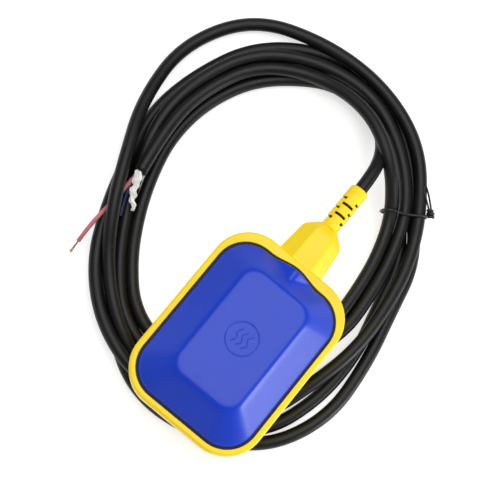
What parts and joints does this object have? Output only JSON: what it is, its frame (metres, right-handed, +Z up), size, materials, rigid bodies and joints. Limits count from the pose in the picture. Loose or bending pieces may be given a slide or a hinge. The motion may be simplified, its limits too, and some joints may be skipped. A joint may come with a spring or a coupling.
{
  "type": "float level switch",
  "caption": "Oblong hollow float level switch with a tapered nose, a slotted strain-relief boot, a rolling-ball microswitch inside and a long cable in a loose coil.",
  "frame": {"origin": "middle of the box round the float with its nose and boot, cable left out", "axes": "+X along the float towards the nose and cable, +Z up through the raised pad, +Y to the left of the nose"},
  "size_m": [0.2359, 0.2055, 0.0567],
  "materials": {
    "blue_plastic": "semi-gloss moulded",
    "yellow_plastic": "semi-gloss moulded",
    "yellow_rubber": "soft, satin",
    "seal_rubber": "matte",
    "cable_rubber": "matte with a soft sheen",
    "tie_plastic": "satin",
    "red_insulation": "satin",
    "blue_insulation": "satin",
    "brown_insulation": "satin",
    "copper": "bare strands",
    "white_filler": "fluffy",
    "grey_plastic": "matte moulded",
    "black_plastic": "matte moulded",
    "ball_steel": "polished",
    "spring_steel": "rolled",
    "zinc_screw": "zinc plated",
    "plunger_plastic": "moulded",
    "terminal_brass": "satin",
    "contact_silver": "polished"
  },
  "bodies": {
    "float": {"ball_track": "grey_plastic", "bare_copper_end": "copper", "cable_coil": "cable_rubber", "cable_lead": "cable_rubber", "capsule_base": "grey_plastic", "capsule_gasket": "seal_rubber", "capsule_lid": "grey_plastic", "clamp_screws": "zinc_screw", "closed_terminal": "terminal_brass", "common_terminal": "terminal_brass", "cord_clamp": "grey_plastic", "entry_grommet": "seal_rubber", "filler_string": "white_filler", "fixed_contacts": "contact_silver", "fixing_screws": "zinc_screw", "free_core_blue": "blue_insulation", "free_core_brown": "brown_insulation", "free_core_red": "red_insulation", "inner_core_closed": "brown_insulation", "inner_core_common": "red_insulation", "inner_core_open": "blue_insulation", "inner_sheath": "cable_rubber", "lever_pin": "spring_steel", "lid_screws": "zinc_screw", "lower_shell": "yellow_plastic", "open_terminal": "terminal_brass", "seam_gasket": "seal_rubber", "strain_relief_boot": "yellow_rubber", "switch_case": "black_plastic", "switch_cover": "black_plastic", "switch_screws": "zinc_screw", "upper_shell": "blue_plastic", "wire_tie": "tie_plastic"},
    "ball": {"steel_ball": "ball_steel"},
    "lever_arm": {"lever": "spring_steel"},
    "plunger_rod": {"plunger": "plunger_plastic"},
    "blade": {"contact_blade": "terminal_brass", "moving_contact": "contact_silver"}
  },
  "joints": [
    {"name": "ball_roll", "type": "slide", "parent": "float", "child": "ball", "axis": [-1, 0, 0], "range_m": [0, 0.013]},
    {"name": "lever_release", "type": "hinge", "parent": "float", "child": "lever_arm", "pos_m": [-0.03545, 0.0115, -0.006], "axis": [0, 0, -1], "range_deg": [0, 8]},
    {"name": "plunger_slide", "type": "slide", "parent": "float", "child": "plunger_rod", "axis": [-1, 0, 0], "range_m": [0, 0.00095]},
    {"name": "blade_swing", "type": "hinge", "parent": "float", "child": "blade", "pos_m": [-0.02565, 0.0067, -0.006], "axis": [0, 0, -1], "range_deg": [0, 2.7]}
  ],
  "couplings": [
    {"joint": "lever_release", "follows": "ball_roll", "rad_per_m": 10.7},
    {"joint": "plunger_slide", "follows": "ball_roll", "ratio": 0.073},
    {"joint": "blade_swing", "follows": "ball_roll", "rad_per_m": 3.6}
  ]
}
